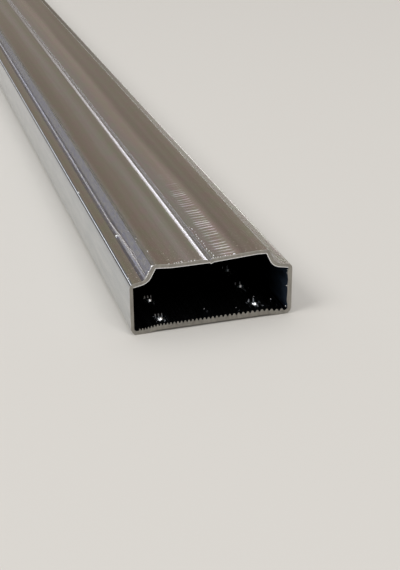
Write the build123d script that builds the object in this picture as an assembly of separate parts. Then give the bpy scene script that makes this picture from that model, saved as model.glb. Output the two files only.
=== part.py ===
from build123d import *

import math
import os

# Hollow aluminium spacer bar, as set between the panes of a double glazed unit.
# Millimetres. X runs across the bar, Y along it and Z up, with the origin under
# the middle of the bar on the floor that it lies on. The mouth is at low Y.

# Overall size
bar_length = 500.0
bar_width = 14.5
bar_height = 6.4

# The strip that the bar is rolled from
strip_wall = 0.36
foot_radius = 0.65
foot_flat = 0.6
floor_rise = 0.18
floor_ramp = 1.1

# Shoulders and coves, which leave room for the sealant behind the bar
shoulder_drop = 1.69
shoulder_radius = 0.45
shoulder_slope = 11.0
cove_radius = 0.9
left_riser_slope = 62.0
right_riser_slope = 66.0

# The narrow back: a level plate to the left of the seam, and one to the right that climbs to its crest.
# An inset is measured across from the side of the bar, and a drop down from the crest.
left_edge_inset = 2.1
left_edge_drop = 0.1
left_plate_inset = 3.7
left_plate_drop = 0.24
right_crest_inset = 3.25
right_edge_inset = 2.17
right_edge_drop = 0.04
back_edge_radius = 0.4
back_bend_radius = 3.0

# The weld seam along the middle of the back: the left plate dips to it, and the right one starts at its lip
seam_drop = 0.18
seam_flank = 0.42
seam_depth = 0.08
seam_width = 0.06
bead_radius = 0.15

# The fine ribs inside the floor, whose spacing grows from left to right
rib_count = 37
rib_height = 0.125
rib_root = 0.03
rib_spread = 0.32

# The two rows of breathing holes, each pierced by a needle and drawn with few sides
hole_pitch = 3.79
hole_radius = 0.26
hole_sides = 8
hole_row_inset = 2.88
first_hole_left = 1.375
first_hole_right = 1.72
last_hole_margin = 1.0


def outline():
    """Corners of the outside with the radius at each, from the raised floor round to where it began."""
    side = bar_width / 2
    foot = side - foot_radius - foot_flat
    left_edge = bar_height - left_edge_drop
    right_edge = bar_height - right_edge_drop
    left_cove, left_floor = cove_corner(left_edge_inset, left_edge, left_riser_slope)
    right_cove, right_floor = cove_corner(right_edge_inset, right_edge, right_riser_slope)
    shoulder = bar_height - shoulder_drop
    plate = bar_height - left_plate_drop
    return [
        ((-foot + floor_ramp, floor_rise), 0),
        ((-foot, 0), 0),
        ((-side, 0), foot_radius),
        ((-side, shoulder), shoulder_radius),
        ((-side + left_cove, left_floor), cove_radius),
        ((-side + left_edge_inset, left_edge), back_edge_radius),
        ((-side + left_plate_inset, plate), back_bend_radius),
        ((-seam_width - seam_flank, plate), 0),
        ((-seam_width, plate - seam_depth), 0),
        ((0, bar_height - seam_drop), 0),
        ((side - right_crest_inset, bar_height), back_bend_radius),
        ((side - right_edge_inset, right_edge), back_edge_radius),
        ((side - right_cove, right_floor), cove_radius),
        ((side, shoulder), shoulder_radius),
        ((side, 0), foot_radius),
        ((foot, 0), 0),
        ((foot - floor_ramp, floor_rise), 0),
    ]


def cove_corner(edge_inset, edge_height, riser_slope):
    """Inset and height of the corner between the shoulder and the riser up to an edge of the back."""
    shoulder = bar_height - shoulder_drop
    flat = math.tan(math.radians(shoulder_slope))
    steep = math.tan(math.radians(riser_slope))
    inset = (steep * edge_inset - (edge_height - shoulder)) / (steep - flat)
    return inset, shoulder + inset * flat


def outside():
    """The bar's outer outline as a face."""
    corners = outline()
    points = [point for point, radius in corners]
    radii = [radius for point, radius in corners]
    return make_face(FilletPolyline(*points, radius=radii, close=True))


def floor_surface(x):
    """Height of the floor's plain inner surface at x, which is raised between the two feet."""
    foot = bar_width / 2 - foot_radius - foot_flat
    share = (foot - abs(x)) / floor_ramp
    return strip_wall + floor_rise * min(1, max(0, share))


def ribs():
    """The ribbed band inside the floor: a row of ridges whose spacing grows steadily."""
    half = bar_width / 2 - foot_radius
    mean = 2 * half / rib_count
    crest, valley = rib_root + rib_height, rib_root
    x = -half
    line = [(x, 0), (x, floor_surface(x) + valley)]
    for number in range(rib_count):
        share = 2 * number / (rib_count - 1) - 1
        pitch = mean * (1 + rib_spread * share)
        line.append((x + pitch / 2, floor_surface(x + pitch / 2) + crest))
        x += pitch
        line.append((x, floor_surface(x) + valley))
    line.append((x, 0))
    return make_face(Polyline(*line, close=True))


def section():
    """The cross section: the outside, less the hollow, which keeps the ribs and the weld bead."""
    outer = outside()
    hollow = offset(outer, -strip_wall, kind=Kind.INTERSECTION)
    ceiling = bar_height - left_plate_drop - seam_depth - strip_wall
    bead = Pos(-seam_width, ceiling) * Circle(bead_radius)
    return outer - (hollow - ribs() - bead)


def needle_holes():
    """Both rows of holes, as needles that pass through the floor and stop inside the hollow."""
    tall = floor_rise + strip_wall + rib_root + rib_height + strip_wall
    needle = extrude(RegularPolygon(hole_radius, hole_sides), tall)
    holes = []
    row = bar_width / 2 - hole_row_inset
    for x, first in ((-row, first_hole_left), (row, first_hole_right)):
        count = int((bar_length - last_hole_margin - first) / hole_pitch) + 1
        for number in range(count):
            y = -bar_length / 2 + first + number * hole_pitch
            holes.append(Pos(x, y, -strip_wall / 2) * needle)
    return holes


def spacer_bar():
    """The section pushed out along Y, with the holes pierced through its floor."""
    upright = Plane.XZ.offset(-bar_length / 2) * section()
    bar = extrude(upright, bar_length)
    return bar - needle_holes()


bar = spacer_bar()
os.makedirs("parts", exist_ok=True)
export_step(bar, "parts/spacer_bar.step")
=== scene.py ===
"""An aluminium spacer bar, as set between the panes of a double glazed unit, finished for the eye.

Sizes are in millimetres and are turned into metres where a mesh is made. X runs across the bar, Y along
it and Z up, with the origin under its middle. The sawn mouth that the camera looks into is at low Y.
"""

import math

import bpy
import numpy as np
from mathutils import Matrix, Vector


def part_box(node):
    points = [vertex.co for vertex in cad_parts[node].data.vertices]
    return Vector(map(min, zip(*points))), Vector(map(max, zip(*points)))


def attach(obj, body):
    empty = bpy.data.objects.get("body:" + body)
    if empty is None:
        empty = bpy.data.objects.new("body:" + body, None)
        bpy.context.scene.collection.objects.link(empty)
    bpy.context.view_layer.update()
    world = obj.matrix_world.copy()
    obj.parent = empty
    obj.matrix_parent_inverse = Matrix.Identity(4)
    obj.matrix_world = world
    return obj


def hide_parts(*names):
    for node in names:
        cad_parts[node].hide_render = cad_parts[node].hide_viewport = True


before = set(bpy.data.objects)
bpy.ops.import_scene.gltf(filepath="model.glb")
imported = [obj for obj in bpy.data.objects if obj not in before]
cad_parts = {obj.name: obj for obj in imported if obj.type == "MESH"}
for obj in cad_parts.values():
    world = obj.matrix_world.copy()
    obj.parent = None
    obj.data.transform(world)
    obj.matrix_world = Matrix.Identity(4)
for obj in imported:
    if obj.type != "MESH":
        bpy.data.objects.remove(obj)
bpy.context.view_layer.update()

# The view
# A close look down into the mouth, from a hand's width away. The bar runs off to the upper left, and the
# lens is given as its length on a picture 36 mm high. MM is a millimetre in metres.
MM = 0.001
lens, picture_height = 70.17, 36.0
nearest_seen, farthest_seen = 5.0, 100000.0
camera_place = (-25.41, -332.07, 43.64)
camera_yaw = math.radians(16.49)
camera_pitch = math.radians(24.91)
camera_roll = math.radians(0.52)


def turned_camera(yaw, pitch, roll):
    """Axes of a camera that starts level along +Y, turns right by yaw, looks down by pitch and tips by roll.

    Forward is (sin yaw cos pitch, cos yaw cos pitch, -sin pitch), right is (cos yaw, -sin yaw, 0), and up
    is right cross forward. The roll turns right and up about forward.
    """
    forward = np.array([math.sin(yaw) * math.cos(pitch), math.cos(yaw) * math.cos(pitch), -math.sin(pitch)])
    right = np.array([math.cos(yaw), -math.sin(yaw), 0.0])
    up = np.cross(right, forward)
    tipped_right = right * math.cos(roll) - up * math.sin(roll)
    tipped_up = up * math.cos(roll) + right * math.sin(roll)
    return np.array([tipped_right, tipped_up, -forward]).T


camera_data = bpy.data.cameras.new("close_view")
camera_data.lens = lens
camera_data.sensor_width = picture_height
camera_data.clip_start = nearest_seen * MM
camera_data.clip_end = farthest_seen * MM
camera = bpy.data.objects.new("close_view", camera_data)
bpy.context.scene.collection.objects.link(camera)
place = Matrix.Translation([v * MM for v in camera_place])
turned = Matrix(turned_camera(camera_yaw, camera_pitch, camera_roll).tolist())
camera.matrix_world = place @ turned.to_4x4()
bpy.context.scene.camera = camera

# The rolled strip
# One strip of aluminium 0.36 mm thick, rolled step by step into this hollow section. The sides stay
# bright, the back is satin, and the coves leave room for the sealant. Places on the section are (x, z).
low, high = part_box("spacer_bar")
bar_width, bar_length = (round((high[axis] - low[axis]) / MM, 2) for axis in (0, 1))
side, mouth_y, far_y = bar_width / 2, -bar_length / 2, bar_length / 2
strip_wall, left_wall = 0.36, 0.29
foot_radius, foot_flat = 0.62, 0.63
foot = side - foot_radius - foot_flat
floor_rise, floor_ramp, ramp_bend = 0.18, 1.1, 0.4
shoulder_height, shoulder_radius, shoulder_slope = 4.71, 0.45, 11.0
cove_radius, left_riser_slope, right_riser_slope = 0.9, 62.0, 66.0
left_edge, left_plate = (-5.15, 6.3), (-3.55, 6.16)
right_crest, right_edge = (4.0, 6.3995), (5.08, 6.36)
left_edge_radius, right_edge_radius, back_bend_radius = 0.3, 0.18, 3.0
seam_foot, seam_ridge, seam_flank = (-1.6, 6.16), (-1.0, 6.24), (-0.6, 6.147)
seam_foot_radius, seam_ridge_radius, seam_flank_radius = 2.0, 1.2, 2.6
seam_bottom, seam_lip = (-0.11, 5.955), (-0.01, 6.185)
soft_edge = 0.025
saw_bevel, inner_bevel, rib_bevel = 0.012, 0.07, 0.008
near_end, far_end = mouth_y + saw_bevel, far_y - saw_bevel
arc_steps, run_steps = 9, 8

# The strip's points and faces are gathered here as arrays. A face's finish is the number of its material.
points, point_count = [], 0
quads, triangles = [], []
BACK, BRIGHT, SEAM, SAWN, INSIDE, BURR, COVE, GALLED, GROOVE, BEND = range(10)


def add_points(x, y, z):
    """Keeps points whose coordinates are arrays of one shape, and gives back their numbers in that shape."""
    global point_count
    x, y, z = np.broadcast_arrays(x, y, z)
    points.append(np.stack([x.ravel(), y.ravel(), z.ravel()], axis=1))
    numbers = point_count + np.arange(x.size).reshape(x.shape)
    point_count += x.size
    return numbers


def add_between(starts, stops, finish, inward=False):
    """Quads between rows of point numbers and the rows beyond them.

    They face up where a row runs to the right and the next one lies beyond it, and inward turns them
    over. The finish is one number, or an array with one for each quad of a row.
    """
    corners = [starts[..., :-1], starts[..., 1:], stops[..., 1:], stops[..., :-1]]
    faces = np.stack([corner.ravel() for corner in corners], axis=1)
    each = np.broadcast_to(finish, corners[0].shape).ravel()
    quads.append((faces[:, ::-1] if inward else faces, each))


def add_zip(left, left_place, right, right_place, finish, inward=False):
    """Triangles between two lines of points whose spacing differs, like the two rows of a zip.

    A segment of one line makes a triangle with the point of the other line that follows all the segments
    whose middles come before its own middle.
    """
    left_middle = (left_place[1:] + left_place[:-1]) / 2
    right_middle = (right_place[1:] + right_place[:-1]) / 2
    to_right = right[np.searchsorted(right_middle, left_middle, "left")]
    to_left = left[np.searchsorted(left_middle, right_middle, "right")]
    on_left = np.stack([left[:-1], to_right, left[1:]], axis=1)
    on_right = np.stack([right[:-1], right[1:], to_left], axis=1)
    faces = np.concatenate([on_left, on_right])
    triangles.append((faces[:, ::-1] if inward else faces, np.full(len(faces), finish)))


def cove_corner(edge, riser_slope, facing_side):
    """The corner between the shoulder, which rises inwards from the side wall, and the riser up to the edge.

    With a and b the rise of the shoulder and of the riser to the millimetre, and the edge d in from the
    side and h up from the shoulder, the two lines meet (b d - h) / (b - a) in from the side.
    """
    flat, steep = math.tan(math.radians(shoulder_slope)), math.tan(math.radians(riser_slope))
    edge_inset = side - abs(edge[0])
    inset = (steep * edge_inset - (edge[1] - shoulder_height)) / (steep - flat)
    return facing_side * (side - inset), shoulder_height + inset * flat


def turn_of(corners):
    """Unit direction of each run of a line, and the signed angle by which it turns at each inner corner."""
    run = np.diff(corners, axis=0)
    way = run / np.linalg.norm(run, axis=1, keepdims=True)
    cross = way[:-1, 0] * way[1:, 1] - way[:-1, 1] * way[1:, 0]
    return way, np.arctan2(cross, (way[:-1] * way[1:]).sum(axis=1))


def rounded_line(corners, radii, arc_count, run_count):
    """Points along an open line whose inner corners are arcs tangent to both of their runs.

    A corner that turns by t uses up r tan(t / 2) of each run, and its arc turns about the point r to the
    side of where it starts. Points on a straight run crowd towards its ends, as (1 - cos) / 2 does.
    """
    way, turn = turn_of(corners)
    reach = (radii * np.tan(np.abs(turn) / 2))[:, None]
    arc_start, arc_stop = corners[1:-1] - way[:-1] * reach, corners[1:-1] + way[1:] * reach
    spoke = np.stack([way[:-1, 1], -way[:-1, 0]], axis=1) * (np.sign(turn) * radii)[:, None]
    angle = turn[:, None] * np.linspace(0, 1, arc_count)[1:-1]
    centre = arc_start - spoke
    arc_x = centre[:, :1] + spoke[:, :1] * np.cos(angle) - spoke[:, 1:] * np.sin(angle)
    arc_z = centre[:, 1:] + spoke[:, :1] * np.sin(angle) + spoke[:, 1:] * np.cos(angle)
    share = (1 - np.cos(np.pi * np.linspace(0, 1, run_count)))[None, :, None] / 2
    run_start = np.vstack([corners[:1], arc_stop])[:, None]
    run_stop = np.vstack([arc_start, corners[-1:]])[:, None]
    runs = run_start + share * (run_stop - run_start)
    woven = np.concatenate([runs[:-1], np.stack([arc_x, arc_z], axis=2)], axis=1)
    return np.vstack([woven.reshape(-1, 2), runs[-1]])


def inset_corners(corners, depth):
    """Corners of the same line with each run moved to its right by its own depth.

    A corner that turns by t moves by first way times second depth less second way times first depth, all
    over sin t.
    """
    way, turn = turn_of(corners)
    aside = np.stack([way[:, 1], -way[:, 0]], axis=1) * depth[:, None]
    slide = (way[:-1] * depth[1:, None] - way[1:] * depth[:-1, None]) / np.sin(turn)[:, None]
    return np.vstack([corners[:1] + aside[:1], corners[1:-1] + slide, corners[-1:] + aside[-1:]])


left_cove = cove_corner(left_edge, left_riser_slope, -1)
right_cove = cove_corner(right_edge, right_riser_slope, 1)

# Corners of the outside from the left foot over the back to the right foot, each with the radius that it
# is rolled to. A corner of radius 0 is sharp on the strip and gets only a soft edge.
section = [
    ((-side, 0.0), foot_radius),
    ((-side, shoulder_height), shoulder_radius),
    (left_cove, cove_radius),
    (left_edge, left_edge_radius),
    (left_plate, back_bend_radius),
    (seam_foot, seam_foot_radius),
    (seam_ridge, seam_ridge_radius),
    (seam_flank, seam_flank_radius),
    (seam_bottom, 0.0),
    (seam_lip, 0.0),
    (right_crest, back_bend_radius),
    (right_edge, right_edge_radius),
    (right_cove, cove_radius),
    ((side, shoulder_height), shoulder_radius),
    ((side, 0.0), foot_radius),
]
before_seam, after_lip = 5, 10

# The scarfed band
# A blade shaves the weld flush as the bar leaves the welder, and it chatters: a band just right of the
# seam carries fine ripples across the bar, strongest near the mouth.
band_left, band_right = 0.3, 2.25
zip_width = 0.05
band_columns = 16
band_reach, band_fade = 48.0, 30.0
ripple_pitch, ripple_height, ripple_rise = 0.58, 0.035, 0.34
ripple_start = 0.4
ripple_fade, ripple_loss = (9.0, 32.0), 0.75
ripple_end = (band_reach - 12, band_reach - 1)
ripple_left_edge, ripple_right_edge = 0.8, 0.14
wander_start = 2.0
lookup_steps = 6000
ripple_margin = 0.03
# Where the rows of points lie along each ripple, as shares of it: closest on its steep climb
ripple_rows = np.array([0, 0.06, 0.12, 0.18, 0.24, 0.29, 0.34, 0.42, 0.52, 0.64, 0.76, 0.88])


def plate_height(x):
    """Height of the right plate, which climbs straight from the seam's lip to its crest."""
    slope = (right_crest[1] - seam_lip[1]) / (right_crest[0] - seam_lip[0])
    return seam_lip[1] + slope * (x - seam_lip[0])


def smooth_step(start, stop, value):
    """0 below start and 1 above stop, level at both: 3 t t - 2 t t t."""
    t = np.clip((value - start) / (stop - start), 0, 1)
    return t * t * (3 - 2 * t)


def chatter_phase(along):
    """Ripples counted from the mouth: one for each pitch, wandering by two slow sines."""
    return along / ripple_pitch + 0.25 * np.sin(along * 0.83) + 0.1 * np.sin(along * 2.31 + 1.0)


def chatter(x, along):
    """Height of the blade's ripples: each climbs for its first share and falls for the rest.

    Both slopes are w - sin(2 pi w) / (4 pi), for w from 0 to 1 and back, which is steepest half way up.
    The bite differs from ripple to ripple and a little across it, by two sines. The ripples fade in at
    the mouth and at the band's left edge, and out with distance from the mouth and at its right edge.
    """
    phase = chatter_phase(along)
    number = np.floor(phase)
    share = phase - number
    climb = np.where(share < ripple_rise, share / ripple_rise, (1 - share) / (1 - ripple_rise))
    wave = climb - np.sin(2 * np.pi * climb) / (4 * np.pi)
    bite = 0.88 + 0.12 * np.sin(number * 2.4 + 0.5 * x) + 0.1 * np.sin(number * 0.83 + 2.0 + 1.7 * x)
    fade = smooth_step(0, ripple_start, along) * (1 - ripple_loss * smooth_step(*ripple_fade, along))
    fade = fade * (1 - smooth_step(*ripple_end, along))
    across = smooth_step(band_left, band_left + ripple_left_edge, x)
    across = across * (1 - smooth_step(band_right - ripple_right_edge, band_right, x))
    return ripple_height * wave * bite * fade * across


# Rows keep their place on each ripple, and wander with it from a little way in. The phase is looked up
# along the band and read backwards to find them.
lookup_along = np.linspace(0, band_reach, lookup_steps)
lookup_phase = chatter_phase(lookup_along)
ripples = np.arange(math.floor(lookup_phase[0]), math.ceil(lookup_phase[-1]))
wanted = (ripples[:, None] + ripple_rows).ravel()
wanted = wanted[(wanted > lookup_phase[0] + ripple_margin) & (wanted < lookup_phase[-1] - ripple_margin)]
fine = np.concatenate([[0.0], np.interp(wanted, lookup_phase, lookup_along), [band_reach]])
coarse = np.linspace(band_reach, far_end - near_end, 30)[1:]
band_x = np.linspace(band_left, band_right, band_columns)
grid_x, grid_along = np.meshgrid(band_x, np.concatenate([fine, coarse]))
wander = 0.03 * (grid_x - band_left) + 0.035 * np.sin(2.4 * grid_x + 0.6 * grid_along)
wander = wander * smooth_step(0, wander_start, grid_along)
wander = wander * (1 - smooth_step(band_reach, band_reach + band_fade, grid_along))
band_y = near_end + grid_along + wander
band = add_points(grid_x, band_y, plate_height(grid_x) + chatter(grid_x, grid_along))
add_between(band[:-1], band[1:], BACK)

# The outside of the strip
# Everything outside that is plain along the bar, in a left and a right part that zip onto the scarfed
# band above and onto the two pierced lanes below.
hole_row, lane_half, lane_gap = 4.37, 0.44, 0.04
sheet_out, sheet_in = hole_row + lane_half + lane_gap, hole_row - lane_half - lane_gap
near_rows, middle_rows = np.arange(0, 12.0, 0.4), np.linspace(12, 120, 16)
far_rows = np.linspace(140, far_end - near_end, 18)
sheet_y = near_end + np.concatenate([near_rows, middle_rows, far_rows])
ramp = [((foot - floor_ramp, floor_rise), ramp_bend), ((foot, 0.0), ramp_bend)]
left_ramp = [((-x, z), radius) for (x, z), radius in ramp]
right_ramp = ramp[::-1]

# The polish of the side walls ends just below the shoulders, but runs on round most of the left one
polish_top = shoulder_height - 0.12
left_polish_stop, left_polish_top = -side + shoulder_radius * 0.75, shoulder_height + 0.05
# The finishes that lie in stretches across the back, between two places in X
stretches = [
    (left_cove[0] - 0.35, left_edge[0] - 0.1, COVE),
    (left_edge[0] - 0.1, left_edge[0] + 0.1, BEND),
    (seam_ridge[0] + 0.22, seam_bottom[0], SEAM),
    # The groove's darker finish is painted shade
    (seam_bottom[0], seam_lip[0] - soft_edge, GROOVE),
    (right_edge[0] - 0.12, right_cove[0] + 0.52, BEND),
]


def line_of(first, middle, last, arc_count, run_count):
    """A rounded line from first through the middle corners to last, with a soft edge where a radius is 0."""
    corners = np.array([first] + [corner for corner, radius in middle] + [last])
    radii = np.maximum([radius for corner, radius in middle], soft_edge)
    return rounded_line(corners, radii, arc_count, run_count)


def finish_at(line):
    """The finish of each face between two columns: bright below, satin above, with the stretches on top."""
    x, z = (line[1:] + line[:-1]).T / 2
    bright = (z <= polish_top) | (x < left_polish_stop) & (z < left_polish_top)
    finish = np.where(bright, BRIGHT, BACK)
    for start, stop, own in stretches:
        finish = np.where((z > polish_top) & (x > start) & (x < stop), own, finish)
    return finish


def add_sheet(line, rows, finish, inward=False, aside=0.0):
    """Carries a line of the section along the bar, a row of points at each station, each moved aside in X."""
    numbers = add_points(line[None, :, 0] + aside, rows[:, None], line[None, :, 1])
    add_between(numbers[:-1], numbers[1:], finish, inward)
    return numbers


left_stop = (band_left - zip_width, float(plate_height(band_left - zip_width)))
right_stop = (band_right + zip_width, float(plate_height(band_right + zip_width)))
left_corners = left_ramp + section[:after_lip]
right_corners = section[after_lip:] + right_ramp
left_line = line_of((-sheet_out, floor_rise), left_corners, left_stop, arc_steps, run_steps)
right_line = line_of(right_stop, right_corners, (sheet_out, floor_rise), arc_steps, run_steps)
left_sheet = add_sheet(left_line, sheet_y, finish_at(left_line))
right_sheet = add_sheet(right_line, sheet_y, finish_at(right_line))
add_zip(left_sheet[:, -1], sheet_y, band[:, 0], band_y[:, 0], BACK)
add_zip(band[:, -1], band_y[:, -1], right_sheet[:, 0], sheet_y, BACK)
middle_x = np.linspace(sheet_in, -sheet_in, 9)
middle_line = np.stack([middle_x, np.full_like(middle_x, floor_rise)], axis=1)
middle_sheet = add_sheet(middle_line, sheet_y, BRIGHT)

# The ribbed inside
# The floor's inner face carries 37 fine ribs along the bar, wider apart towards the right. The rest of
# the inside follows the outside at the strip's thickness, with a small weld bead under the seam.
rib_count, rib_height, rib_spread, rib_inset = 37, 0.215, 0.32, 0.65
rib_half = side - rib_inset
rib_mean = 2 * rib_half / rib_count
rib_steps, column_margin = 6, 0.04
weld_root = (-0.2, 6.17)
bead_height, bead_width, bead_place = 0.13, 0.11, -0.06
inside_arcs, inside_runs = 6, 12
# The saw has pushed the right wall's inner edge inwards. The burr grows between the two heights of its
# foot and dies away between those of its top.
burr_height, burr_reach = 0.085, 0.45
burr_foot, burr_top = (0.75, 1.3), (4.25, 4.6)
wall_margin = 0.05


def rib_place(number):
    """Where rib number starts: the sum of spacings that grow steadily from mean (1 - s) to mean (1 + s)."""
    grown = number * (1 - rib_spread) + rib_spread * number * (number - 1) / (rib_count - 1)
    return -rib_half + rib_mean * grown


def rib_phase(x):
    """The rib number at x, whole at each valley: the positive root of the quadratic in rib_place."""
    a = rib_spread / (rib_count - 1)
    b = 1 - rib_spread - a
    return (-b + np.sqrt(b * b + 4 * a * np.clip((x + rib_half) / rib_mean, 0, None))) / (2 * a)


def floor_height(x):
    """Height of the inner floor: the raised floor plus ribs.

    A rib is (1 + w (3 - w w) / 2) / 2, where w is minus the cosine of the rib phase, which squares its
    shoulders.
    """
    plain = strip_wall + floor_rise * np.clip((foot - np.abs(x)) / floor_ramp, 0, 1)
    wave = -np.cos(2 * np.pi * rib_phase(x))
    return plain + rib_height * (1 + wave * (3 - wave * wave) / 2) / 2


def rib_columns(start, stop):
    """Places across the floor from start to stop, with a few to each rib."""
    first, last = rib_phase(min(start, stop)), rib_phase(max(start, stop))
    inner = np.arange(math.floor(first * rib_steps) + 1, math.ceil(last * rib_steps)) / rib_steps
    keep = inner[(inner > first + column_margin) & (inner < last - column_margin)]
    places = np.concatenate([[min(start, stop)], rib_place(keep), [max(start, stop)]])
    return places if start < stop else places[::-1]


def floor_line(columns):
    """The inner floor's line over places across it."""
    return np.stack([columns, floor_height(columns)], axis=1)


def wall_burr(z, along):
    """How far the right wall's inner edge is pushed: two sines up the wall, gone a hair further in."""
    wave = 0.5 + 0.3 * np.sin(5.1 * z + 0.6) + 0.2 * np.sin(11.3 * z)
    up = smooth_step(*burr_foot, z) * (1 - smooth_step(*burr_top, z))
    return -burr_height * wave * up * (1 - smooth_step(0, burr_reach, along))


inside_of = section[:before_seam] + [(weld_root, 0.0)] + section[after_lip:]
around = np.array([(-rib_half, 0.0)] + [corner for corner, radius in inside_of] + [(rib_half, 0.0)])
depth = np.full(len(around) - 1, strip_wall)
depth[1] = left_wall
outer_radii = np.array([radius for corner, radius in inside_of])
inner_radii = np.where(outer_radii > 0, outer_radii + np.sign(turn_of(around)[1]) * strip_wall, soft_edge)
inner_radii = np.maximum(inner_radii, soft_edge)
inner_line = rounded_line(inset_corners(around, depth), inner_radii, inside_arcs, inside_runs)
inner_line[:, 1] -= bead_height * np.exp(-((inner_line[:, 0] - bead_place) / bead_width) ** 2)
left_ribs, right_ribs = rib_columns(-sheet_out, -rib_half)[:-1], rib_columns(rib_half, sheet_out)[1:]
inner_line = np.vstack([floor_line(left_ribs), inner_line, floor_line(right_ribs)])
near_rows, middle_rows = [0, 0.12, 0.26, burr_reach], np.linspace(2, 24, 12)
far_rows = np.linspace(40, bar_length - 1, 18)[:-1]
inner_y = near_end + np.concatenate([near_rows, middle_rows, far_rows, [far_end - near_end]])
at_right_wall = inner_line[:, 0] > side - strip_wall - wall_margin
inside_finish = np.where(at_right_wall[1:] & at_right_wall[:-1], GALLED, INSIDE)
burr = wall_burr(inner_line[None, :, 1], (inner_y - near_end)[:, None])
burr = np.where(at_right_wall[None], burr, 0.0)
inner_sheet = add_sheet(inner_line, inner_y, inside_finish, inward=True, aside=burr)
inner_middle = add_sheet(floor_line(rib_columns(sheet_in, -sheet_in)), inner_y, INSIDE, inward=True)

# The breathing holes
# Two rows of needle holes through the floor let the drying beads reach the air between the panes. The
# needle goes in from below and leaves a torn lip standing inside, which catches the light.
hole_pitch, hole_radius = 3.79, 0.26
first_left, first_right, last_margin = 1.375, 1.72, 1.0
ring_steps = 3
ring_count = 4 * ring_steps
fade_reach, module_reach = 0.49, 0.6
lip_height, lip_low, lip_ragged = 0.24, 0.16, 0.3
# Rings round a hole: a radius and a share of the lip's height inside, a radius and a lift underneath
lip_rings = ((0.255, 0.9), (0.29, 1.0), (0.36, 0.5), (0.43, 0.05))
under_rings = ((hole_radius, 0.03), (0.3, 0.0))
rng = np.random.default_rng(7)


def square_ring(half):
    """Points round a square, ring_steps to a side, clockwise seen from above, from its near left corner."""
    share = np.linspace(-1, 1, ring_steps + 1)[:-1]
    one = np.ones(ring_steps)
    x = np.concatenate([-one, share, one, -share]) * half
    y = np.concatenate([share, one, -share, -one]) * half
    return x, y


def round_ring(radius):
    """As many points round a circle, at even angles, in step with those of the square."""
    angle = math.radians(225) - np.arange(ring_count) * 2 * np.pi / ring_count
    return radius * np.cos(angle), radius * np.sin(angle)


def closed(rings):
    """Rings of point numbers, each with its first number again at its end."""
    return np.concatenate([rings, rings[..., :1]], axis=-1)


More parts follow.
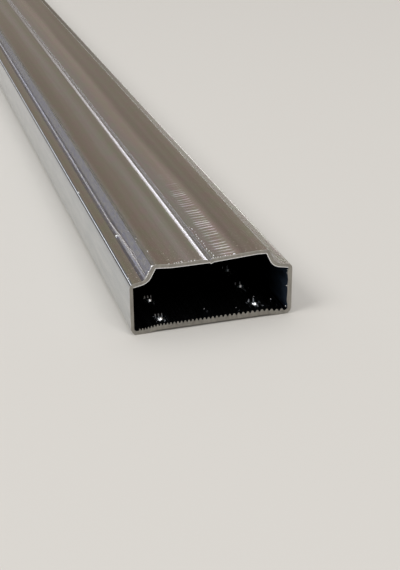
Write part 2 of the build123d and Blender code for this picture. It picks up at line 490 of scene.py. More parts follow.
def lane(row_x, first):
    """One row of holes with the floor's two faces round it, and the walls of the holes.

    Every hole has a square cell of rings round it on either face. With c the cosine from the side nearer
    the mouth, a lip's height is its ring's share times low + (1 - low) ((1 + c) / 2) to the power 1.6,
    because the needle leans, times 1 + ragged (t1 cos(a + 3 t2) + t3 cos(2 a + 5 t1) / 2), with a round
    the hole and t1, t2 and t3 each hole's own random numbers. Short rows either side of the cell let the
    ribs fade in again.
    """
    count = int((bar_length - last_margin - first) / hole_pitch) + 1
    hole_y = (mouth_y + first + hole_pitch * np.arange(count))[:, None]
    tear = rng.uniform(-1, 1, (count, 3))[:, :, None]
    angle = np.arange(ring_count) * 2 * np.pi / ring_count
    ragged = tear[:, 0] * np.cos(angle + 3 * tear[:, 1])
    ragged = ragged + 0.5 * tear[:, 2] * np.cos(2 * angle + 5 * tear[:, 0])
    plain = strip_wall + floor_rise
    inside, under = [], []
    for radius, share in lip_rings:
        x, y = round_ring(radius)
        lean = lip_low + (1 - lip_low) * ((1 - y / radius) / 2) ** 1.6
        rise = lip_height * share * lean * (1 + lip_ragged * ragged)
        inside.append(add_points(row_x + x, hole_y + y, plain + rise))
    cell_x, cell_y = square_ring(lane_half)
    inside.append(add_points(row_x + cell_x, hole_y + cell_y, plain))
    for radius, lift in under_rings:
        x, y = round_ring(radius)
        under.append(add_points(row_x + x, hole_y + y, floor_rise + lift))
    under.append(add_points(row_x + cell_x, hole_y + cell_y, floor_rise))
    inside_cell, under_cell = inside[-1], under[-1]
    inside, under = closed(np.stack(inside, axis=1)), closed(np.stack(under, axis=1))
    lip_count = len(lip_rings)
    add_between(inside[:, :lip_count - 1], inside[:, 1:lip_count], BURR)
    add_between(inside[:, lip_count - 1:-1], inside[:, lip_count:], INSIDE)
    add_between(under[:, :-1], under[:, 1:], BRIGHT, inward=True)
    add_between(under[:, 0], inside[:, 0], BURR)

    # Rows of points across the lane, from its left to its right edge: the cell's own near and far sides,
    # a plain row beyond each, and a ribbed row beyond that
    fine_x = rib_columns(row_x - lane_half, row_x + lane_half)
    coarse_x = row_x + np.linspace(-lane_half, lane_half, ring_steps + 1)
    near_side = np.concatenate([[0], np.arange(ring_count - 1, ring_count - 1 - ring_steps, -1)])
    far_side = np.arange(ring_steps, 2 * ring_steps + 1)
    plain_near = add_points(fine_x, hole_y - fade_reach, plain)
    plain_far = add_points(fine_x, hole_y + fade_reach, plain)
    ribbed_near = add_points(fine_x, hole_y - module_reach, floor_height(fine_x))
    ribbed_far = add_points(fine_x, hole_y + module_reach, floor_height(fine_x))
    mouth_row = add_points(fine_x, near_end, floor_height(fine_x))
    end_row = add_points(fine_x, far_end, floor_height(fine_x))
    for n in range(count):
        add_zip(inside_cell[n, near_side], coarse_x, plain_near[n], fine_x, INSIDE)
        add_zip(plain_far[n], fine_x, inside_cell[n, far_side], coarse_x, INSIDE)
    add_between(ribbed_near, plain_near, INSIDE)
    add_between(plain_far, ribbed_far, INSIDE)
    add_between(np.vstack([mouth_row[None], ribbed_far]), np.vstack([ribbed_near, end_row[None]]), INSIDE)

    # The same across the underside, which has no ribs
    under_mouth = add_points(coarse_x, near_end, floor_rise)
    under_end = add_points(coarse_x, far_end, floor_rise)
    starts = np.vstack([under_mouth[None], under_cell[:, far_side]])
    stops = np.vstack([under_cell[:, near_side], under_end[None]])
    add_between(starts, stops, BRIGHT, inward=True)

    # Points down the lane's two edges, inside and underneath, with their places along the bar
    left_side, right_side = np.arange(0, ring_steps + 1), np.arange(3 * ring_steps, 2 * ring_steps - 1, -1)
    side_y = np.linspace(-lane_half, lane_half, ring_steps + 1)
    module_y = np.concatenate([[-module_reach, -fade_reach], side_y, [fade_reach, module_reach]])
    inside_y = np.concatenate([[near_end], (hole_y + module_y).ravel(), [far_end]])
    under_y = np.concatenate([[near_end], (hole_y + side_y).ravel(), [far_end]])
    edges = {}
    for name, column, cell_side in (("left", 0, left_side), ("right", -1, right_side)):
        down = [ribbed_near[:, column, None], plain_near[:, column, None], inside_cell[:, cell_side]]
        down += [plain_far[:, column, None], ribbed_far[:, column, None]]
        down = np.concatenate(down, axis=1).ravel()
        edges["inside_" + name] = np.concatenate([[mouth_row[column]], down, [end_row[column]]])
        down = under_cell[:, cell_side].ravel()
        edges["under_" + name] = np.concatenate([[under_mouth[column]], down, [under_end[column]]])
    rows = {"inside": (mouth_row, end_row), "under": (under_mouth, under_end)}
    return edges, inside_y, under_y, rows


left_lane, left_inside_y, left_under_y, left_rows = lane(-hole_row, first_left)
right_lane, right_inside_y, right_under_y, right_rows = lane(hole_row, first_right)
add_zip(left_lane["inside_right"], left_inside_y, inner_middle[:, -1], inner_y, INSIDE)
add_zip(inner_middle[:, 0], inner_y, right_lane["inside_left"], right_inside_y, INSIDE)
add_zip(inner_sheet[:, 0], inner_y, left_lane["inside_left"], left_inside_y, INSIDE)
add_zip(right_lane["inside_right"], right_inside_y, inner_sheet[:, -1], inner_y, INSIDE)
add_zip(left_lane["under_right"], left_under_y, middle_sheet[:, -1], sheet_y, BRIGHT, inward=True)
add_zip(middle_sheet[:, 0], sheet_y, right_lane["under_left"], right_under_y, BRIGHT, inward=True)
add_zip(left_sheet[:, 0], sheet_y, left_lane["under_left"], left_under_y, BRIGHT, inward=True)
add_zip(right_lane["under_right"], right_under_y, right_sheet[:, -1], sheet_y, BRIGHT, inward=True)

# The sawn ends
# Both ends are cut square with a fine saw. It leaves a matt face with a hair's bevel, and rubs the inner
# edge of the hollow to a wider bevel above the ribs, which is bright from just below the shoulders.
above_ribs = strip_wall + floor_rise + rib_height + 0.15
bright_from = shoulder_height - 0.3


def ring_offset(x, z, ring_depth):
    """A closed ring of points moved to its right by a depth, square to the line between its neighbours."""
    dx, dz = np.roll(x, -1) - np.roll(x, 1), np.roll(z, -1) - np.roll(z, 1)
    size = np.hypot(dx, dz)
    return x + ring_depth * dz / size, z - ring_depth * dx / size


def add_end(outer, inner, end_y, inward):
    """Closes one end between the outer and the inner ring of point numbers, with a bevel along both edges.

    The two rings differ in spacing, so the face between them is a zip: an inner point's place along it is
    that of the outer point nearest to it, and points that share one follow each other by less than a
    hundredth.
    """
    every = np.concatenate(points)
    out_x, out_z = every[outer, 0], every[outer, 2]
    in_x, in_z = every[inner, 0], every[inner, 2]
    new_x, new_z = ring_offset(out_x, out_z, saw_bevel)
    face_outer = add_points(new_x, end_y, new_z)
    new_x, new_z = ring_offset(in_x, in_z, -np.where(in_z > above_ribs, inner_bevel, rib_bevel))
    face_inner = add_points(new_x, end_y, new_z)
    bevel_finish = np.where(in_z > bright_from, BURR, SAWN)
    add_between(closed(face_outer), closed(outer), SAWN, inward)
    add_between(closed(inner), closed(face_inner), bevel_finish, inward)
    gap = (in_x[:, None] - out_x[None]) ** 2 + (in_z[:, None] - out_z[None]) ** 2
    nearest = np.maximum.accumulate(gap.argmin(axis=1).astype(float))
    place_out = np.arange(len(outer) + 1.0)
    place_in = np.append(nearest + np.linspace(0, 0.01, len(inner)), len(outer))
    add_zip(closed(face_outer), place_out, closed(face_inner), place_in, SAWN, inward)


def end_rings(row):
    """Numbers round the outside and round the inside at one end: row 0 is the mouth and -1 the far end."""
    left_under, right_under = left_rows["under"][row], right_rows["under"][row]
    left_inside, right_inside = left_rows["inside"][row], right_rows["inside"][row]
    over = [left_sheet[row], band[row], right_sheet[row]]
    outer = over + [right_under[::-1], middle_sheet[row], left_under[::-1]]
    inner = [inner_sheet[row], right_inside[::-1], inner_middle[row], left_inside[::-1]]
    return np.concatenate(outer), np.concatenate(inner)


mouth_rings, far_rings = end_rings(0), end_rings(-1)
add_end(*mouth_rings, mouth_y, inward=False)
add_end(*far_rings, far_y, inward=True)

# The finishes of the strip
# It is bare aluminium throughout, and what changes is how each face was last worked: rolled, drawn over
# polished rolls, bent, shaved, sawn or torn. Some tints are painted light and shade on top: bands across
# the back, the darker inside of the hollow and of the groove, and darkening up the side walls and into
# the right inner wall. Patterns are noise, with sizes in millimetres across, along and up.
noise_span = {"From Min": 0.3, "From Max": 0.7}
band_grain, band_waver = (3.33, 22.2, 3.33), 0.25
patch_span = {"From Min": 0.36, "From Max": 0.64}
# Dust of the saw is finer than a tenth of a millimetre, and is drawn two or three times as coarse, so
# that it shows. It lies within a few millimetres of the mouth.
speck_grain, speck_height = (0.192, 0.2778, 0.192), 0.008
speck_span = {"From Min": 0.64, "From Max": 0.78}
speck_reach, speck_full = 7.0, 0.3


def hex_colour(code):
    """An sRGB hex colour as linear colour and full alpha: ((c + 0.055) / 1.055) ** 2.4 above 0.04."""
    channel = np.array([int(code[k:k + 2], 16) / 255 for k in (1, 3, 5)])
    linear = np.where(channel <= 0.04045, channel / 12.92, ((channel + 0.055) / 1.055) ** 2.4)
    return (*linear.tolist(), 1.0)


def add_node(tree, kind, inputs=(), out=None, **settings):
    """Adds a node with its own settings. Each input takes a value, or the socket that feeds it.

    Gives back the node, or its output of the name or number out. Inputs 6 and 7 of a Mix node are its two
    colours, and output 2 is its result.
    """
    made = tree.nodes.new(kind)
    for name, value in settings.items():
        setattr(made, name, value)
    for name, value in dict(inputs).items():
        if isinstance(value, bpy.types.NodeSocket):
            tree.links.new(value, made.inputs[name])
        else:
            made.inputs[name].default_value = value
    return made if out is None else made.outputs[out]


def new_material(name):
    """An empty material, its node tree and its output node."""
    material = bpy.data.materials.new(name)
    material.use_nodes = True
    material.node_tree.nodes.clear()
    return material, material.node_tree, add_node(material.node_tree, "ShaderNodeOutputMaterial")


def rolled_metal(name, dark, light, rough, streak, bump,
                 bands=(), patches=(), grain=None, pepper=None, fade=None):
    """Bare aluminium: streaks mix a dark and a light tone, and further layers are laid over them.

    The streaks' noise also moves the roughness between its two values and lifts the surface by the bump.
    Bands are painted light and shade: faint colours at places across the bar, blended into each other
    along a line that wavers. Patches are two more colours, mixed by noise of that grain. Fade is painted
    shade: an axis, a place on it where a tint starts, one where it is full, and the tint. The metal is
    multiplied by all three. Pepper is the colour of fine raised specks near the mouth, whose share is the
    speck noise times the nearness.
    """
    material, tree, output = new_material(name)
    place = add_node(tree, "ShaderNodeTexCoord", out="Object")
    axes = add_node(tree, "ShaderNodeSeparateXYZ", {0: place}).outputs
    grains = {"streak": (streak, 4.0), "band": (band_grain if bands else None, 3.0), "patch": (grain, 5.0),
              "speck": (speck_grain if pepper else None, 1.0)}
    noise = {}
    for use, (size, detail) in grains.items():
        if size:
            per_metre = [1 / (length * MM) for length in size]
            drawn = add_node(tree, "ShaderNodeVectorMath", {0: place, 1: per_metre}, 0, operation="MULTIPLY")
            texture = {"Vector": drawn, "Scale": 1.0, "Detail": detail}
            noise[use] = add_node(tree, "ShaderNodeTexNoise", texture, "Fac")

    # Each layer is the share that it takes, its colour, and how it is laid over the ones below
    tone = add_node(tree, "ShaderNodeMapRange", {"Value": noise["streak"], **noise_span}, 0)
    layers = [(tone, hex_colour(light), "MIX")]
    # Painted light and shade: tints laid in bands across the bar
    if bands:
        reach = {"To Min": -band_waver * MM, "To Max": band_waver * MM}
        waver = add_node(tree, "ShaderNodeMapRange", {"Value": noise["band"], **noise_span, **reach}, 0)
        across = add_node(tree, "ShaderNodeMath", {0: axes["X"], 1: waver}, 0, operation="ADD")
        across = {"Value": across, "From Min": -side * MM, "From Max": side * MM}
        share = add_node(tree, "ShaderNodeMapRange", across, 0)
        painted_light_ramp = add_node(tree, "ShaderNodeValToRGB", {0: share})
        painted_light_ramp.color_ramp.interpolation = "EASE"
        stops = painted_light_ramp.color_ramp.elements  # two of them to start with
        for number, (x, code) in enumerate(bands):
            stop = stops[number] if number < 2 else stops.new(1.0)
            stop.position = (x + side) / (2 * side)
            stop.color = hex_colour(code)
        layers.append((1.0, painted_light_ramp.outputs[0], "MULTIPLY"))
    if patches:
        share = add_node(tree, "ShaderNodeMapRange", {"Value": noise["patch"], **patch_span}, 0)
        casts = {"Factor": share, 6: hex_colour(patches[0]), 7: hex_colour(patches[1])}
        layers.append((1.0, add_node(tree, "ShaderNodeMix", casts, 2, data_type="RGBA"), "MULTIPLY"))
    # Painted shade: a darker tint that grows along one axis
    if fade:
        axis, start, full, tint = fade
        reach = {"Value": axes[axis], "From Min": start * MM, "From Max": full * MM}
        layers.append((add_node(tree, "ShaderNodeMapRange", reach, 0), hex_colour(tint), "MULTIPLY"))
    normal = add_node(tree, "ShaderNodeBump", {"Height": noise["streak"], "Distance": bump * MM}, 0)
    if pepper:
        specks = add_node(tree, "ShaderNodeMapRange", {"Value": noise["speck"], **speck_span}, 0)
        start, full = (mouth_y + speck_reach) * MM, (mouth_y + speck_full) * MM
        near = {"Value": axes["Y"], "From Min": start, "From Max": full}
        near = add_node(tree, "ShaderNodeMapRange", near, 0)
        share = add_node(tree, "ShaderNodeMath", {0: specks, 1: near}, 0, operation="MULTIPLY")
        layers.append((share, hex_colour(pepper), "MIX"))
        raised = {"Height": share, "Distance": speck_height * MM, "Normal": normal}
        normal = add_node(tree, "ShaderNodeBump", raised, 0)
    colour = hex_colour(dark)
    for share, tint, blend in layers:
        mixed = {"Factor": share, 6: colour, 7: tint}
        colour = add_node(tree, "ShaderNodeMix", mixed, 2, data_type="RGBA", blend_type=blend)
    roughness = {"Value": noise["streak"], **noise_span, "To Min": rough[0], "To Max": rough[1]}
    roughness = add_node(tree, "ShaderNodeMapRange", roughness, 0)
    surface = {"Base Color": colour, "Metallic": 1.0, "Roughness": roughness, "Normal": normal}
    tree.links.new(add_node(tree, "ShaderNodeBsdfPrincipled", surface, 0), output.inputs[0])
    return material


finishes = [
    # Mill aluminium as the work rolls leave it, under a thin film of rolling oil. It gives the eye a
    # satin sheen, peppered next to the cut. Its faint brown, grey and blue bands along the bar are painted
    # reflection: tints for what each part of the back mirrors of the room. Real roll lines are a few
    # hundredths of a millimetre apart, too fine to show, so they are drawn 0.6 mm apart.
    rolled_metal(
        "aluminium_rolled_satin", dark="#dedbd6", light="#e9e7e3", rough=(0.17, 0.23),
        streak=(0.588, 111, 0.588), bump=0.002,
        bands=((-6.9, "#dbdbd4"), (-5.2, "#e2e8f0"), (-4.5, "#d6d2cd"), (-3.2, "#dad7d5"),
               (-2.3, "#eff2fa"), (-1.2, "#e2e8e4"), (0.2, "#ecf0fa"), (1.7, "#fdf9fc"),
               (2.8, "#d7d4d3"), (4.4, "#dcdad5"), (5.2, "#f0f3ef"), (6.4, "#d0d2cb")),
        patches=("#f4f9ef", "#fbf1f4"), grain=(0.667, 2.0, 0.667), pepper="#f6ecea"),
    # The same strip drawn over polished side rolls: brighter and smoother, with long fine scratches,
    # which are drawn 0.8 mm apart so that they show. Painted shade darkens the walls from 1.8 mm up to
    # 4.4 mm, for their duller reflection towards the top.
    rolled_metal(
        "aluminium_rolled_bright", dark="#c9cbcd", light="#dadcde", rough=(0.08, 0.14),
        streak=(0.833, 71.4, 0.833), bump=0.003,
        patches=("#e9ebec", "#fdfdfb"), grain=(0.667, 3.85, 0.667), fade=("Z", 1.8, 4.4, "#e4e6ea")),
    # Bare metal shaved by the scarfing blade, whose nicks leave lines 0.25 mm apart: the lightest face of
    # the back, with a soft glint
    rolled_metal(
        "aluminium_scarfed_weld", dark="#e9eaf0", light="#f6f6fa", rough=(0.2, 0.28),
        streak=(0.25, 16.7, 0.25), bump=0.002),
    # The sawn face: matt, with the marks of fine teeth, three to the millimetre
    rolled_metal(
        "aluminium_sawn", dark="#908d87", light="#a9a69f", rough=(0.34, 0.46),
        streak=(1 / 3, 1 / 3, 1.11), bump=0.004),
    # Rolled metal that has seen no polishing, with roll lines drawn 0.7 mm apart. Its dark grey is
    # painted shade for the inside of the hollow, where little light reaches.
    rolled_metal(
        "aluminium_ribbed_inside_painted_shade", dark="#7c8084", light="#8a8e92", rough=(0.16, 0.24),
        streak=(0.667, 50, 0.667), bump=0.003),
    # Torn and rubbed edges: clean metal with a grain of a sixth of a millimetre, so a light tone and
    # broken glints
    rolled_metal(
        "aluminium_torn", dark="#e6e8ea", light="#f4f5f6", rough=(0.2, 0.3),
        streak=(1 / 6, 1 / 6, 1 / 6), bump=0.003),
    # The left cove, where the strip was bent hardest and its skin roughened grain by grain: duller, a
    # little blue, and mottled. The grains are drawn 0.3 mm wide, a few times their real size, so that
    # they show. Its faint bands across the section are painted reflection tints.
    rolled_metal(
        "aluminium_rolled_cove", dark="#a9a9ad", light="#babac0", rough=(0.24, 0.32),
        streak=(0.667, 16.7, 0.667), bump=0.003,
        bands=((-6.6, "#f8f4ec"), (-5.9, "#f2f0ee"), (-5.6, "#f4f5fc"), (5.4, "#f6f6f6")),
        patches=("#dcdef0", "#fafaf4"), grain=(0.3125, 0.769, 0.3125), pepper="#f2f4fc"),
    # The wall inside the right of the mouth, galled by the tools in smears over 2 mm long: rough and
    # blue-grey, with painted shade that darkens it from just inside the mouth to 5 mm in.
    rolled_metal(
        "aluminium_galled_inside", dark="#3f4c60", light="#647892", rough=(0.5, 0.62),
        streak=(0.667, 2.38, 0.667), bump=0.006, fade=("Y", mouth_y + 0.4, mouth_y + 5.0, "#1c2026")),
    # The groove beside the seam, painted darker than the back as painted shade in the groove
    rolled_metal(
        "aluminium_groove_painted_shade", dark="#a8a5a1", light="#b6b3af", rough=(0.2, 0.28),
        streak=(0.333, 16.7, 0.333), bump=0.002),
    # The two edges of the back and the right cove, where bending roughened the strip, in grains as coarse
    # as the left cove's: even, pale and matt. The darker tint of its band over the left edge is painted
    # shade.
    rolled_metal(
        "aluminium_roughened_bend", dark="#c2c0ba", light="#d0cec8", rough=(0.4, 0.5),
        streak=(0.667, 16.7, 0.667), bump=0.004, bands=((-5.2, "#c9c6c2"), (4.9, "#ffffff")),
        patches=("#eceef4", "#fdfcf6"), grain=(0.3125, 0.769, 0.3125)),
]

# The whole bar as one closed mesh
# The strip is one piece of metal, so all its faces are one mesh. It stands in for the plain solid of the
# same bar, and only its sawn faces are flat shaded.
sharp_beyond = math.radians(40)
all_faces = [face for faces, finish in quads + triangles for face in faces.tolist()]
finish_of_face = np.concatenate([finish for faces, finish in quads + triangles])
mesh = bpy.data.meshes.new("spacer_bar_strip")
mesh.from_pydata((np.concatenate(points) * MM).tolist(), [], all_faces)
mesh.polygons.foreach_set("material_index", finish_of_face.astype(np.int32))
mesh.polygons.foreach_set("use_smooth", finish_of_face != SAWN)
for finish in finishes:
    mesh.materials.append(finish)
mesh.set_sharp_from_angle(angle=sharp_beyond)
mesh.update()
strip = bpy.data.objects.new("spacer_bar_strip", mesh)
bpy.context.scene.collection.objects.link(strip)
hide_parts("spacer_bar")
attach(strip, "root")

# Crumbs of the saw cut
# The saw leaves a row of tiny crumbs of aluminium along the upper edge of the mouth, and a few more stick
# to the shoulder, the riser and the ribbed floor. Each is a lump that has been dragged a little flat.
crumb_rings, crumb_steps = 4, 8
crumb_flat, crumb_lobe, crumb_swell = 0.75, 0.3, 1.31
edge_radius, loose_radius = 0.066, 0.058
edge_sink, highest_crumb = 0.02, 6.396
# Along the mouth's upper edge: places across it, and sizes as shares of the radius
edge_x, edge_size = np.array([
    (-3.77, 0.8), (-3.32, 0.9), (-3.12, 0.8), (-2.92, 1.0), (-2.67, 1.5), (-2.07, 0.9), (-1.82, 1.0),
    (-1.52, 1.3), (-0.1, 0.6), (0.1, 0.8), (0.3, 0.7), (0.52, 0.9), (0.74, 0.8), (0.96, 0.7),
    (1.17, 1.0), (1.39, 0.8), (1.62, 0.7), (1.98, 1.6),
]).T
edge_z = np.where(edge_x < 0, seam_foot[1], plate_height(edge_x)) + edge_sink
# The loose ones: X, how far in from the mouth, Z and size
loose = np.array([
    (-5.99, 10.2, 4.98, 2.7), (-7.01, 23.3, 4.77, 1.9), (-7.06, 1.3, 4.77, 1.3), (-5.25, 5.8, 6.12, 1.2),
    (-4.87, 3.0, 6.29, 0.9), (-5.13, 6.0, 6.29, 1.0), (-5.42, 3.6, 5.8, 0.8), (-5.3, 8.5, 6.02, 0.8),
    (-0.27, 1.7, 0.74, 1.2), (2.48, 1.1, 0.74, 0.9), (4.68, 2.7, 0.74, 1.1), (5.94, 1.7, 0.74, 0.9),
    (6.82, 0.1, 3.9, 1.2), (6.79, 0.1, 2.7, 1.6), (6.76, 0.1, 0.72, 1.4), (6.82, 0.1, 4.2, 0.9),
])
edge_place = np.stack([edge_x, np.full_like(edge_x, mouth_y), edge_z], axis=1)
crumb_place = np.concatenate([edge_place, loose[:, :3] + (0, mouth_y, 0)])
crumb_size = np.concatenate([edge_radius * edge_size, loose_radius * loose[:, 3]])
# No crumb sticks out past the cut or above the back
crumb_place[:, 1] = np.maximum(crumb_place[:, 1], mouth_y + crumb_swell * crumb_size)
crumb_place[:, 2] = np.minimum(crumb_place[:, 2], highest_crumb - crumb_flat * crumb_swell * crumb_size)


def crumbs(place, size, rng):
    """Lumps at each place: spheres of rings and steps, flattened in Z and swollen by a random cosine each.

    A point is place + size (sin u cos v, sin u sin v, flat cos u) times 1 + lobe cos(2 v + a) sin u, with
    u from pole to pole and v round, and a its own angle. The poles are single points.
    """
    u = np.linspace(0, np.pi, crumb_rings + 2)[1:-1, None]
    v = np.arange(crumb_steps) * 2 * np.pi / crumb_steps
    turn = rng.uniform(0, 2 * np.pi, (len(place), 1, 1))
    swell = 1 + crumb_lobe * np.cos(2 * v + turn) * np.sin(u)
    tall = crumb_flat * np.cos(u) * np.ones(crumb_steps)
    ball = np.stack([np.sin(u) * np.cos(v), np.sin(u) * np.sin(v), tall], axis=2)
    rings = place[:, None, None] + size[:, None, None, None] * ball * swell[..., None]
    poles = place[:, None] + size[:, None, None] * np.array([[0, 0, crumb_flat], [0, 0, -crumb_flat]])
    every = np.concatenate([rings.reshape(len(place), -1, 3), poles], axis=1)
    number = np.arange(crumb_rings * crumb_steps).reshape(crumb_rings, crumb_steps)
    beside = np.roll(number, -1, axis=1)
    sides = np.stack([number[:-1], number[1:], beside[1:], beside[:-1]], axis=2).reshape(-1, 4)
    top, bottom = crumb_rings * crumb_steps, crumb_rings * crumb_steps + 1
    top_cap = np.stack([np.full(crumb_steps, top), number[0], beside[0]], axis=1)
    bottom_cap = np.stack([np.full(crumb_steps, bottom), beside[-1], number[-1]], axis=1)
    shift = np.arange(len(place))[:, None, None] * (bottom + 1)
    faces = [(kind + shift).reshape(-1, kind.shape[1]) for kind in (sides, top_cap, bottom_cap)]
    return every.reshape(-1, 3), [face for kind in faces for face in kind.tolist()]


def add_dressing(name, vertices, faces, finish):
    """Makes a smooth mesh object from points in millimetres, which rides on the bar."""
    mesh = bpy.data.meshes.new(name)
    mesh.from_pydata((vertices * MM).tolist(), [], faces)
    mesh.polygons.foreach_set("use_smooth", np.ones(len(mesh.polygons), bool))
    mesh.materials.append(finishes[finish])
    mesh.update()
    piece = bpy.data.objects.new(name, mesh)
    bpy.context.scene.collection.objects.link(piece)
    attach(piece, "root")


add_dressing("saw_crumbs", *crumbs(crumb_place, crumb_size, rng), BURR)

# Spatter of the weld
# The welder throws fine beads of metal to the right of the seam, and a few of them stick in a crooked
# row. They cooled in the air, so they are round and bright.
spatter_count = 13
spatter_first, spatter_spacing = 0.1, (0.4, 0.8)
spatter_line, spatter_swing, spatter_turns = 0.2, 0.07, 2.3
spatter_radius, spatter_sink = (0.045, 0.075), 0.01
spatter_along = np.cumsum(rng.uniform(*spatter_spacing, spatter_count))
spatter_x = spatter_line + spatter_swing * np.sin(spatter_along * spatter_turns)
spatter_size = rng.uniform(*spatter_radius, spatter_count)
spatter_y = mouth_y + spatter_first + spatter_along
spatter_place = np.stack([spatter_x, spatter_y, plate_height(spatter_x) + spatter_sink], axis=1)
add_dressing("weld_spatter", *crumbs(spatter_place, spatter_size, rng), BURR)

# The sliver in the left cove and the torn edge
# A hair of metal, scraped up by the last pair of rolls, lies in the cove near the mouth, and a thinner
# one bows away from it. The saw has torn the mouth's edge beside them.
sliver_start, sliver_stop, sliver_half_width, sliver_lift = 17.0, 0.1, 0.115, 0.085
loop_start, loop_stop, loop_half_width, loop_lift = 7.0, 2.8, 0.045, 0.05
sliver_steps, loop_steps, torn_steps = 90, 40, 44
hair_slope = math.radians(40)
hair_steps = 10
torn_bottom, torn_top, torn_taper = 5.0, 6.24, 0.12
torn_along, torn_deep, torn_wide = 0.11, 0.1, 0.12
in_cove = (left_line[:, 1] > shoulder_height + 0.1) & (left_line[:, 0] < left_edge[0] + 0.1)
cove_x, cove_z = left_line[in_cove].T


def on_cove(height):
    """Places on the strip's outline in the left cove at each height."""
    return np.interp(height, cove_z, cove_x)


def hair(centre, wide, thick):
    """A closed ribbon with a flat top: ring after ring of centre + wide c + thick s.

    With v round it, c is cos v and s is sin v, each to the power 0.5 with its sign kept. Wide cross thick
    points along the ribbon, so that its faces look outwards.
    """
    v = (np.arange(hair_steps) + 0.5) * 2 * np.pi / hair_steps
    c, s = (np.sign(wave) * np.abs(wave) ** 0.5 for wave in (np.cos(v), np.sin(v)))
    rings = centre[:, None] + wide[:, None] * c[:, None] + thick[:, None] * s[:, None]
    number = np.arange(len(centre) * hair_steps).reshape(-1, hair_steps)
    beside = np.roll(number, -1, axis=1)
    faces = np.stack([number[:-1], beside[:-1], beside[1:], number[1:]], axis=2).reshape(-1, 4).tolist()
    return rings.reshape(-1, 3), faces + [number[0][::-1].tolist(), number[-1].tolist()]


def cove_hair(start, stop, height, half_width, lift, steps):
    """A hair along the cove between two places in from the mouth, whose height is a function of the place.

    Its width and lift are the sine of pi times the share of its length, to the power 0.6, which tapers
    both ends, times 0.85 to 1 by a slow sine squared. Its middle stands clear of the cove by 0.3 of its lift.
    """
    y = mouth_y + np.linspace(start, stop, steps)
    z = height(y)
    share = np.clip(np.linspace(0, 1, steps), 0.02, 0.98)
    taper = (np.sin(np.pi * share) ** 0.6 * (0.85 + 0.15 * np.sin(y * 1.3) ** 2))[:, None]
    wide = np.array([math.cos(hair_slope), 0, math.sin(hair_slope)]) * half_width * taper
    thick = np.array([-math.sin(hair_slope), 0, math.cos(hair_slope)]) * lift * taper
    return hair(np.stack([on_cove(z), y, z], axis=1) + 0.3 * thick, wide, thick)


def sliver_height(y):
    """Height of the sliver, which climbs 0.14 mm out of the cove from 14 mm to 7 mm in from the mouth."""
    climb = 0.14 * smooth_step(-14.0, -7.0, mouth_y - y)
    return 5.09 + climb + 0.006 * np.sin(y * 1.9) + 0.003 * np.sin(y * 4.3)


def loop_height(y):
    """Height of the second hair, which bows away from the sliver by half a sine between its two ends."""
    share = smooth_step(-loop_start, -loop_stop, mouth_y - y)
    return sliver_height(y) + 0.03 + 0.17 * np.sin(np.pi * share)


sliver = cove_hair(sliver_start, sliver_stop, sliver_height, sliver_half_width, sliver_lift, sliver_steps)
add_dressing("cove_sliver", *sliver, SEAM)
loop = cove_hair(loop_start, loop_stop, loop_height, loop_half_width, loop_lift, loop_steps)
add_dressing("cove_sliver_loop", *loop, SEAM)

# The torn edge follows the outline up the cove's riser, standing out from it and forward by a ragged
# share: a slow sine squared with a fast one on it, gone at both ends
torn_z = np.linspace(torn_bottom, torn_top, torn_steps)
slope_step = 0.01
torn_run_x = on_cove(torn_z + slope_step) - on_cove(torn_z - slope_step)
torn_size = np.hypot(torn_run_x, 2 * slope_step)
outwards = np.stack([-2 * slope_step / torn_size, 0 * torn_z, torn_run_x / torn_size], axis=1)
ragged = 0.35 + 0.65 * np.sin(torn_z * 3.9 - 22.8) ** 2 * (0.7 + 0.3 * np.sin(torn_z * 17.0))
ragged = ragged * smooth_step(torn_bottom, torn_bottom + torn_taper, torn_z)
ragged = (ragged * (1 - smooth_step(torn_top - torn_taper, torn_top, torn_z)) + 0.05)[:, None]
torn_centre = np.stack([on_cove(torn_z), np.full_like(torn_z, mouth_y + torn_along), torn_z], axis=1)
torn = hair(torn_centre, torn_wide * ragged * outwards, ragged * (0, -torn_deep, 0))
add_dressing("torn_edge", *torn, BURR)

# The table
# The bar lies on a wide board in matt emulsion paint, rolled on: pale and dull, so that it shows the
# bar's shadow and nothing else. It is no part of the bar.
table_half = 6000.0 * MM
table_corners = [(-table_half, -table_half, 0), (table_half, -table_half, 0), (table_half, table_half, 0),
                 (-table_half, table_half, 0)]
table_mesh = bpy.data.meshes.new("table")
table_mesh.from_pydata(table_corners, [], [(0, 1, 2, 3)])
table = bpy.data.objects.new("table", table_mesh)
bpy.context.scene.collection.objects.link(table)
table_material, tree, output = new_material("table_matt_paint")
paint = {"Base Color": hex_colour("#d4d1cb"), "Roughness": 0.9, "Specular IOR Level": 0.1}
tree.links.new(add_node(tree, "ShaderNodeBsdfPrincipled", paint, 0), output.inputs[0])
table_mesh.materials.append(table_material)

# The light
# A room with warm grey walls, a little darker to the left, under a pale ceiling, with panels on its walls
# for the metal to mirror, and two soft boxes over the mouth. Directions are an azimuth, turned right from
# +Y, and an elevation, both in degrees.
darker_to = {"From Min": 0.0, "From Max": -0.3}
ceiling_from = {"From Min": 0.56, "From Max": 0.78}
mouth_middle = (0.0, mouth_y, 3.0)
box_distance = 900


def way_to(azimuth, elevation):
    """The unit direction (sin a cos e, cos a cos e, sin e) at an azimuth and an elevation."""
    a, e = math.radians(azimuth), math.radians(elevation)
    return np.array([math.sin(a) * math.cos(e), math.cos(a) * math.cos(e), math.sin(e)])


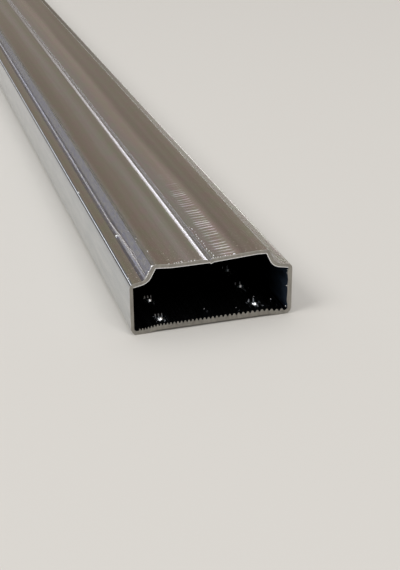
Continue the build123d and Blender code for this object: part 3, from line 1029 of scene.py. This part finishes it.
world = bpy.data.worlds.new("studio")
bpy.context.scene.world = world
world.use_nodes = True
room = world.node_tree
room.nodes.clear()
way = add_node(room, "ShaderNodeTexCoord", out="Generated")
axes = add_node(room, "ShaderNodeSeparateXYZ", {0: way}).outputs
to_left = {"Value": axes["X"], **darker_to}
left_share = add_node(room, "ShaderNodeMapRange", to_left, 0, interpolation_type="SMOOTHSTEP")
wall_colours = {"Factor": left_share, 6: hex_colour("#938a80"), 7: hex_colour("#89847f")}
walls = add_node(room, "ShaderNodeMix", wall_colours, 2, data_type="RGBA")
upwards = {"Value": axes["Z"], **ceiling_from}
up_share = add_node(room, "ShaderNodeMapRange", upwards, 0, interpolation_type="SMOOTHSTEP")
room_colours = {"Factor": up_share, 6: walls, 7: hex_colour("#fbfcff")}
sky_colour = add_node(room, "ShaderNodeMix", room_colours, 2, data_type="RGBA")


def add_panel(under, start, stop, half, levels, colour, blend):
    """A soft-edged panel on the room's wall, between two directions, whose half width is in degrees.

    With u along it from -1 to 1 and v across it, its share is its level, which goes softly from the first
    to the second with u, times a fall from 1 to 0 about |u| = 1 and about |v| = 1. Seen the other way
    round the same formula gives a second panel below the floor, where nothing sees it.
    """
    first, last = way_to(*start), way_to(*stop)
    run = last - first
    across = np.cross(first + last, run)
    across = across / np.linalg.norm(across) / math.sin(math.radians(half))
    along = 2 * run / run.dot(run)
    u = add_node(room, "ShaderNodeVectorMath", {0: way, 1: along}, 1, operation="DOT_PRODUCT")
    v = add_node(room, "ShaderNodeVectorMath", {0: way, 1: across}, 1, operation="DOT_PRODUCT")
    level = {"Value": u, "From Min": -1.0, "From Max": 1.0, "To Min": levels[0], "To Max": levels[1]}
    share = add_node(room, "ShaderNodeMapRange", level, 0, interpolation_type="SMOOTHSTEP")
    for axis, inner, outer in ((u, 0.8, 1.2), (v, 0.5, 1.5)):
        size = add_node(room, "ShaderNodeMath", {0: axis}, 0, operation="ABSOLUTE")
        edge = {"Value": size, "From Min": outer, "From Max": inner}
        fall = add_node(room, "ShaderNodeMapRange", edge, 0, interpolation_type="SMOOTHSTEP")
        share = add_node(room, "ShaderNodeMath", {0: share, 1: fall}, 0, operation="MULTIPLY")
    mixed = {"Factor": share, 6: under, 7: hex_colour(colour)}
    return add_node(room, "ShaderNodeMix", mixed, 2, data_type="RGBA", blend_type=blend, clamp_factor=False)


# A long low panel for the seam, a thin one for the left cove, and two dark cards: one beside that panel
# and one for the ripples' troughs
panels = [
    ((29.5, 6.2), (13.0, 3.5), 2.8, (3.8, 0.4), "#f6f7ff", "ADD"),
    ((-25.0, 17.3), (-9.0, 6.8), 2.0, (3.0, 1.0), "#f2f3f8", "ADD"),
    ((-28.5, 7.0), (-10.0, 2.6), 2.6, (0.6, 0.4), "#3c3a38", "MULTIPLY"),
    ((10.5, 6.5), (16.5, 9.0), 4.2, (0.4, 0.4), "#403c38", "MULTIPLY"),
]
for panel in panels:
    sky_colour = add_panel(sky_colour, *panel)
sky = add_node(room, "ShaderNodeBackground", {"Color": sky_colour, "Strength": 1.0})
world_output = add_node(room, "ShaderNodeOutputWorld")
room.links.new(sky.outputs[0], world_output.inputs[0])


def facing(back):
    """Axes whose third points along back, with the first level."""
    third = back / np.linalg.norm(back)
    first = np.cross([0.0, 0.0, 1.0], third)
    first = first / np.linalg.norm(first)
    return np.array([first, np.cross(third, first), third]).T


def soft_box(name, azimuth, elevation, size, power):
    """A square white area lamp that faces the mouth from a direction, with its side in millimetres."""
    lamp = bpy.data.lights.new(name, "AREA")
    lamp.shape = "SQUARE"
    lamp.size = size * MM
    lamp.energy = power
    box = bpy.data.objects.new(name, lamp)
    back = box_distance * way_to(azimuth, elevation)
    lamp_place = (np.array(mouth_middle) + back) * MM
    box.matrix_world = Matrix.Translation(lamp_place.tolist()) @ Matrix(facing(back).tolist()).to_4x4()
    box.visible_camera = False
    bpy.context.scene.collection.objects.link(box)


soft_box("key_box", -100, 48, 400, 3.0)
soft_box("front_box", 160, 50, 300, 1.5)

bpy.context.scene.view_settings.view_transform = "Standard"
